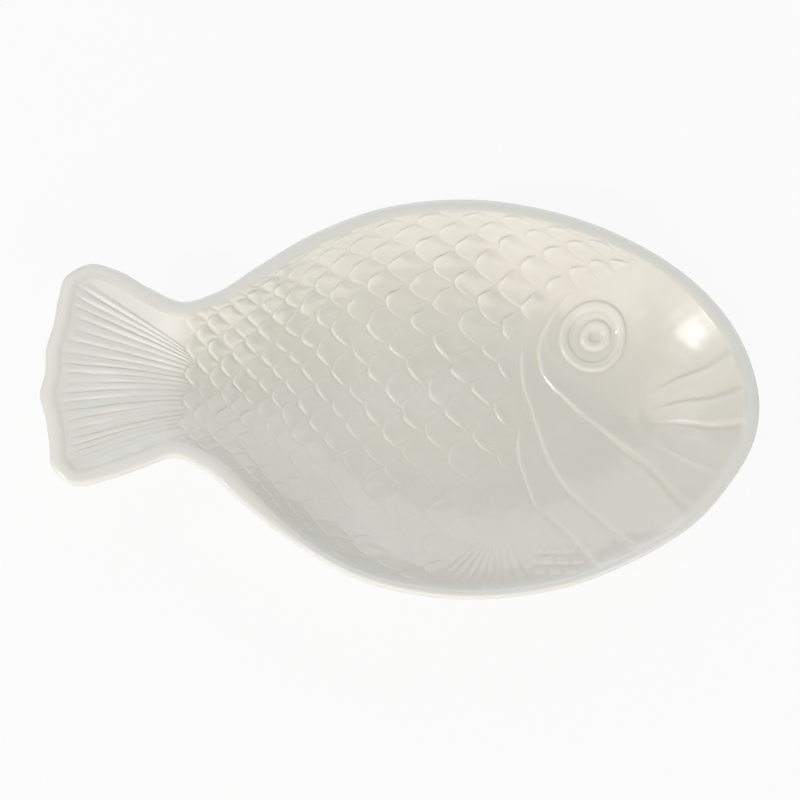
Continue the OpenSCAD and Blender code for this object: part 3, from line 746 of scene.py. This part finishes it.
class Finish:
    """The nodes of a material or of the world."""

    def __init__(self, owner):
        owner.use_nodes = True
        self.tree = owner.node_tree
        self.tree.nodes.clear()

    def node(self, kind, settings=None, inputs=None, output=0):
        """Adds a node of a kind, with its settings and the values or links of its sockets."""
        made = self.tree.nodes.new(kind)
        for name, value in (settings or {}).items():
            if name == "stops":
                for stop in value[2:]:
                    made.color_ramp.elements.new(stop[0])
                for element, (place, colour) in zip(made.color_ramp.elements, value):
                    element.position = place
                    element.color = (*colour, 1)
            else:
                setattr(made, name, value)
        for name, value in (inputs or {}).items():
            if isinstance(value, Value):
                self.tree.links.new(value.socket, made.inputs[name])
            else:
                made.inputs[name].default_value = value
        return Value(self, made.outputs[output]) if made.outputs else None

    def blend(self, factor, first, second):
        """Mix of two colours."""
        settings = {"data_type": "RGBA"}
        return self.node("ShaderNodeMix", settings, {0: factor, 6: first, 7: second}, 2)

    def seen(self, *rays):
        """1 where one of these kinds of ray meets the surface."""
        return sum(self.node("ShaderNodeLightPath", output=f"Is {ray} Ray") for ray in rays)


def rgba(colour):
    return (*colour, 1.0)


def glaze_finish(colours):
    """Clear warm glaze: it pools deeper in the hollows and lies thin on the edges; its thin colour also paints the tail
    and the lip paler, as painted light.
    """
    made = bpy.data.materials.get("ivory glaze")
    if made:
        return made
    made = bpy.data.materials.new("ivory glaze")
    f = Finish(made)
    place = f.node("ShaderNodeTexCoord", output=3)
    glaze_depth_and_light = f.node("ShaderNodeAttribute", {"attribute_name": "glaze"}, output=2)
    cloud = f.node("ShaderNodeTexNoise", None, {"Vector": place, "Scale": 22.0, "Detail": 3.0})
    grain = f.node("ShaderNodeTexNoise", None, {"Vector": place, "Scale": 900.0, "Detail": 2.0})
    depth = glaze_depth_and_light + (cloud - 0.5) * 0.35
    # Thin glaze is painted paler: on the edges this is the glaze itself, on the tail and the lip it is also painted
    # light
    body = f.node(
        "ShaderNodeValToRGB",
        {"stops": [(0.2, colours.thin), (0.5, colours.glaze), (0.8, colours.pooled)]}, {0: depth},
    )
    specks = f.node(
        "ShaderNodeTexVoronoi", {"feature": "F1"}, {"Vector": place, "Scale": 130.0, "Randomness": 1.0}
    )
    pin = f.node("ShaderNodeMapRange", {"clamp": True}, {0: specks, 1: 0.03, 2: 0.06, 3: 1.0, 4: 0.0})
    rare = f.node("ShaderNodeMapRange", {"clamp": True}, {0: cloud, 1: 0.56, 2: 0.6, 3: 0.0, 4: 0.5})
    colour = f.blend(pin * rare, body, rgba(colours.speck))
    ripple = f.node("ShaderNodeTexNoise", None, {"Vector": place, "Scale": 140.0, "Detail": 2.0})
    bump = f.node(
        "ShaderNodeBump", None,
        {"Strength": 0.12, "Distance": 0.0004, "Height": ripple + grain * 0.04 - pin * rare * 0.6},
    )
    shader = f.node(
        "ShaderNodeBsdfPrincipled", None,
        {
            "Base Color": colour, "Roughness": 0.25 + (cloud - 0.5) * 0.08 + (grain - 0.5) * 0.05,
            "Normal": bump, "IOR": 1.5, "Coat Weight": 0.45, "Coat Roughness": 0.02, "Coat IOR": 1.55,
        },
    )
    f.node("ShaderNodeOutputMaterial", None, {"Surface": shader})
    return made


def clay_finish(colours):
    """Bare fired clay: matt, with fine sand and a rubbed foot."""
    made = bpy.data.materials.new("bare clay")
    f = Finish(made)
    place = f.node("ShaderNodeTexCoord", output=3)
    cloud = f.node("ShaderNodeTexNoise", None, {"Vector": place, "Scale": 60.0, "Detail": 4.0})
    sand = f.node("ShaderNodeTexNoise", None, {"Vector": place, "Scale": 1600.0, "Detail": 2.0})
    body = f.blend(cloud, rgba(colours.clay), rgba(colours.clay_dark))
    colour = f.blend((sand - 0.5) * 0.5 + 0.1, body, rgba(colours.clay_dark))
    bump = f.node("ShaderNodeBump", None, {"Strength": 0.4, "Distance": 0.0003, "Height": sand})
    shader = f.node(
        "ShaderNodeBsdfPrincipled", None,
        {"Base Color": colour, "Roughness": 0.72 + cloud * 0.2, "Normal": bump},
    )
    f.node("ShaderNodeOutputMaterial", None, {"Surface": shader})
    return made


def length_property(name, description, default):
    return FloatProperty(name=name, description=description, default=default, unit="LENGTH", min=0.0)


def colour_property(name, description, default):
    return FloatVectorProperty(
        name=name, description=description, default=default, subtype="COLOR", size=3, min=0.0, max=1.0
    )


def power_property(name, description, default):
    return FloatProperty(name=name, description=description, default=default, unit="POWER", min=0.0)


class PlatterSizes(bpy.types.PropertyGroup):
    """Sizes of the platter's form."""

    band: length_property("Lip width", "Width of the plain lip, seen from above", 0.010)
    crest: length_property("Crest", "Distance of the lip's crest from the edge", 0.006)
    lip_fall: length_property("Lip fall", "Fall of the lip from its crest to the edge", 0.0030)
    near_shift: length_property("Near shift", "Widening of the bowl into the lip on the belly's side", 0.0045)
    wall: length_property("Wall", "Thickness of the ceramic wall", 0.005)
    tail_depth: length_property("Tail depth", "Depth of the pan at the tail's end", 0.0045)
    foot_height: length_property("Foot height", "Height of the floor's underside", 0.004)
    scale_rise: length_property("Scale rise", "Rise of a scale's free edge", 0.0013)
    eye_rise: length_property("Eye rise", "Rise of the eye's rings", 0.0012)
    cheek_rise: length_property("Cheek rise", "Rise of the cheek's fold", 0.0015)
    gill_rise: length_property("Gill rise", "Rise of the gill folds", 0.0010)
    fold_rise: length_property("Mouth rise", "Rise of the folds round the mouth", 0.0018)
    ray_rise: length_property("Ray rise", "Rise of the tail's rays", 0.0016)
    fin_rise: length_property("Fin rise", "Rise of the belly fin's rays", 0.0002)
    scale_rows: IntProperty(name="Scale rows", description="Half rows of scales on a side", default=10, min=4)
    fin_count: IntProperty(name="Fin rays", description="Number of rays in the belly fin", default=8, min=3)


class PlatterColours(bpy.types.PropertyGroup):
    """Colours of the glaze and the clay."""

    glaze: colour_property("Glaze", "Warm ivory of the glaze", (0.80, 0.77, 0.70))
    pooled: colour_property("Pooled glaze", "Glaze where it lies deep", (0.74, 0.70, 0.61))
    # The thin colour also paints the tail and the lip paler, as painted light
    thin: colour_property("Thin glaze", "Glaze where it lies thin on an edge", (0.86, 0.845, 0.80))
    speck: colour_property("Speck", "Pinholes in the glaze", (0.55, 0.49, 0.40))
    clay: colour_property("Clay", "Bare clay of the foot", (0.68, 0.60, 0.48))
    clay_dark: colour_property("Dark clay", "Darker grains of the clay", (0.50, 0.42, 0.32))


class PlatterStudio(bpy.types.PropertyGroup):
    """Light, floor and view."""

    left_power: power_property("Front left", "Power of the window at the front left", 8.0)
    right_power: power_property("Front right", "Power of the window at the front right", 20.0)
    side_power: power_property("Side", "Power of the high window at the tail's side", 6.0)
    far_power: power_property("Far wall", "Power of the pale wall on the far side", 26.0)
    high_power: power_property("High front", "Power of the high window in front", 7.0)
    end_power: power_property("Nose end", "Power of the pale wall past the nose", 1.6)
    glint_power: power_property("Glint", "Power of the small lamp that gives the glints", 7.5)
    sky: FloatProperty(name="Sky", description="Strength of the even light", default=0.275, min=0.0)
    floor_white: FloatProperty(
        name="Floor white", description="Share of plain white in the floor that the camera sees", default=0.9,
        subtype="FACTOR", min=0.0, max=1.0,
    )
    lens: FloatProperty(name="Lens", description="Focal length of the camera", default=68.985, unit="CAMERA")


class PLATTER_OT_dish(bpy.types.Operator):
    """Build the scaled body, the head and the tail of the dish"""

    bl_idname = "platter.dish"
    bl_label = "Dish"

    def execute(self, context):
        form = Form(context.scene.platter_sizes)
        glaze = glaze_finish(context.scene.platter_colours)
        for name, lines, sides, columns, rows, nodes in DISH_PARTS:
            dish_part(form, name, lines, sides, columns, rows, glaze, nodes)
        return {"FINISHED"}


class PLATTER_OT_rim(bpy.types.Operator):
    """Build the plain rolled lip round the dish"""

    bl_idname = "platter.rim"
    bl_label = "Rim"

    def execute(self, context):
        form = Form(context.scene.platter_sizes)
        inner = np.linspace(form.band, form.crest, INNER_RINGS + 1)[:-1]
        low = HEIGHT - form.lip_fall
        section = [(share * form.crest, HEIGHT - fall * form.lip_fall) for share, fall in LIP_TOP]
        section += [(share * form.crest, low - depth) for share, depth in LIP_UNDER]
        lip = smooth_path(section, LIP_STEPS)
        lip[:, 1] = np.minimum(lip[:, 1], HEIGHT)
        below = np.linspace(0, 1, UNDER_RINGS + 1)[1:]
        columns = RIM_COLUMNS
        rows = len(inner) + len(lip) + len(below)
        bm = shaped_grid(columns, rows, flat_rows=(rows - 1,))
        share = np.arange(columns + 1) / columns
        spots, glaze = [], []

        def ring(depth, height, glaze_depth_and_light):
            place = OUTLINE.inset(share, np.full(share.shape, depth))
            spots.append(np.column_stack([place, height(place)]))
            glaze.append(np.full(share.shape, glaze_depth_and_light))

        def dish(place, d):
            return sum(form.raised(place, np.full(share.shape, d)))

        # The lip's glaze is set thin, which paints it paler: partly the glaze thinning on the edge, partly painted
        # light on the lip
        for d in inner:
            glaze_depth_and_light = THIN_GLAZE_AND_PAINTED_LIGHT + 0.3 * (d - form.crest) / (form.band - form.crest)
            ring(d, lambda place, d=d: dish(place, d), glaze_depth_and_light)
        drop = np.maximum(lip[:, 0], 0)
        edge = drop.argmin()
        for d, z in zip(drop[:edge], lip[:edge, 1]):
            ring(d, lambda place, d=d, z=z: dish(place, d) + z - HEIGHT, THIN_GLAZE_AND_PAINTED_LIGHT)
        for d, z in zip(drop[edge:], lip[edge:, 1]):
            ring(d, lambda place, z=z: np.full(share.shape, z), THIN_GLAZE_AND_PAINTED_LIGHT)
        for s in below:
            d = drop[-1] + (form.band - drop[-1]) * s
            low = lip[-1, 1]
            ring(d, lambda place, s=s: low + (form.underside(form.band, *place.T) - low) * s, EVEN_GLAZE)
        spots.append(spots[0])
        glaze.append(glaze[0])
        # One ring past the dish's edge gives the seam its neighbour there
        past = form.band + SEAM_STEP
        beyond = OUTLINE.inset(share, np.full(share.shape, past))
        beyond = np.column_stack([beyond, dish(beyond, past)])
        facing = np.zeros((rows + 1, columns + 1, 3))
        facing[[0, -1]] = grid_facing(np.stack([beyond, spots[0], spots[1]]))[1]
        move_vertices(bm, np.concatenate(spots), facing.reshape(-1, 3), np.concatenate(glaze))
        close_up(bm)
        add_piece(bm, "rim", glaze_finish(context.scene.platter_colours), ["rim_lip"])
        return {"FINISHED"}


class PLATTER_OT_foot(bpy.types.Operator):
    """Build the bare foot ring under the dish"""

    bl_idname = "platter.foot"
    bl_label = "Foot ring"

    def execute(self, context):
        form = Form(context.scene.platter_sizes)
        (low_x, low_y, _), (high_x, high_y, _) = (np.array(corner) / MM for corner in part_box("foot_ring"))
        middle = ((low_x + high_x) / 2, (low_y + high_y) / 2)
        half = ((high_x - low_x) / 2, (high_y - low_y) / 2)
        rows = len(FOOT_SECTION)
        bm = shaped_grid(FOOT_COLUMNS, rows, flat_rows=(rows - 1,))
        turn = 2 * np.pi * np.arange(FOOT_COLUMNS + 1) / FOOT_COLUMNS
        spots = []
        for inset, height in FOOT_SECTION:
            place = np.column_stack([
                middle[0] + (half[0] - inset) * np.cos(turn), middle[1] + (half[1] - inset) * np.sin(turn)
            ])
            top = form.underside(OUTLINE.distance(place), *place.T) + FOOT_SEAT
            spots.append(np.column_stack([place, top if height is None else np.full(len(turn), height)]))
        spots.append(spots[0])
        spots = np.concatenate(spots)
        move_vertices(bm, spots, np.zeros_like(spots), np.full(len(spots), EVEN_GLAZE))
        close_up(bm)
        add_piece(bm, "foot", clay_finish(context.scene.platter_colours), ["foot_ring"])
        return {"FINISHED"}


class PLATTER_OT_studio(bpy.types.Operator):
    """Build the pale floor, the lamps and the camera"""

    bl_idname = "platter.studio"
    bl_label = "Studio"

    def lamp(self, name, azimuth, elevation, size, power, colour):
        """A soft lamp that faces the platter, by its direction in degrees."""
        turn, rise = math.radians(azimuth), math.radians(elevation)
        way = Vector((math.cos(turn) * math.cos(rise), math.sin(turn) * math.cos(rise), math.sin(rise)))
        data = bpy.data.lights.new(name, "AREA")
        data.shape = "RECTANGLE"
        data.size, data.size_y = size
        data.energy = power
        data.color = colour
        lamp = bpy.data.objects.new(name, data)
        bpy.context.scene.collection.objects.link(lamp)
        lamp.location = way * LAMP_DISTANCE + Vector((0.0, 0.0, LAMP_TARGET_HEIGHT))
        lamp.rotation_euler = (-way).to_track_quat("-Z", "Y").to_euler()

    def floor(self, studio):
        bm = bmesh.new()
        bmesh.ops.create_grid(bm, x_segments=8, y_segments=8, size=FLOOR_HALF)
        mesh = bpy.data.meshes.new("floor")
        bm.to_mesh(mesh)
        bm.free()
        floor = bpy.data.objects.new("floor", mesh)
        bpy.context.scene.collection.objects.link(floor)
        made = bpy.data.materials.new("pale floor")
        f = Finish(made)
        matt = f.node("ShaderNodeBsdfDiffuse", None, {"Color": rgba(FLOOR_COLOUR)})
        white = f.node("ShaderNodeEmission", None, {"Color": rgba(WHITE), "Strength": 1.0})
        share = f.seen(*WHITE_RAYS) * studio.floor_white
        mixed = f.node("ShaderNodeMixShader", None, {0: share, 1: matt, 2: white})
        f.node("ShaderNodeOutputMaterial", None, {"Surface": mixed})
        mesh.materials.append(made)

    def sky(self, scene, studio):
        world = bpy.data.worlds.new("studio")
        scene.world = world
        f = Finish(world)
        even = f.node("ShaderNodeBackground", None, {"Color": rgba(SKY_COLOUR), "Strength": studio.sky})
        white = f.node("ShaderNodeBackground", None, {"Color": rgba(WHITE), "Strength": 1.0})
        share = f.seen(*WHITE_RAYS)
        mixed = f.node("ShaderNodeMixShader", None, {0: share, 1: even, 2: white})
        f.node("ShaderNodeOutputWorld", None, {"Surface": mixed})

    def execute(self, context):
        scene = context.scene
        studio = scene.platter_studio
        scene.view_settings.view_transform = "Standard"
        self.floor(studio)
        self.sky(scene, studio)
        for name, azimuth, elevation, size, power, colour in LAMPS:
            self.lamp(name, azimuth, elevation, size, getattr(studio, power), colour)
        data = bpy.data.cameras.new("camera")
        data.sensor_width = CAMERA_SENSOR
        data.lens = studio.lens
        data.clip_start, data.clip_end = CAMERA_CLIP
        camera = bpy.data.objects.new("camera", data)
        scene.collection.objects.link(camera)
        place, target = Vector(CAMERA_PLACE), Vector(CAMERA_TARGET)
        camera.location = place
        camera.rotation_euler = (target - place).to_track_quat("-Z", "Y").to_euler()
        scene.camera = camera
        return {"FINISHED"}


class PLATTER_PT_sidebar(bpy.types.Panel):
    """Sizes, colours and steps of the platter"""

    bl_idname = "PLATTER_PT_sidebar"
    bl_label = "Fish shaped platter"
    bl_space_type = "VIEW_3D"
    bl_region_type = "UI"
    bl_category = "Platter"

    def draw(self, context):
        for step in STEPS:
            self.layout.operator(step.bl_idname)
        for group in (context.scene.platter_sizes, context.scene.platter_colours, context.scene.platter_studio):
            box = self.layout.box()
            for name in group.__annotations__:
                box.prop(group, name)


STEPS = (PLATTER_OT_dish, PLATTER_OT_rim, PLATTER_OT_foot, PLATTER_OT_studio)
GROUPS = {
    "platter_sizes": PlatterSizes, "platter_colours": PlatterColours, "platter_studio": PlatterStudio,
}
CLASSES = (*GROUPS.values(), *STEPS, PLATTER_PT_sidebar)


def register():
    for made in CLASSES:
        bpy.utils.register_class(made)
    for name, group in GROUPS.items():
        setattr(bpy.types.Scene, name, PointerProperty(type=group))


def unregister():
    for name in GROUPS:
        delattr(bpy.types.Scene, name)
    for made in reversed(CLASSES):
        bpy.utils.unregister_class(made)


def main():
    register()
    bpy.ops.platter.dish()
    bpy.ops.platter.rim()
    bpy.ops.platter.foot()
    bpy.ops.platter.studio()


if __name__ == "__main__":
    main()
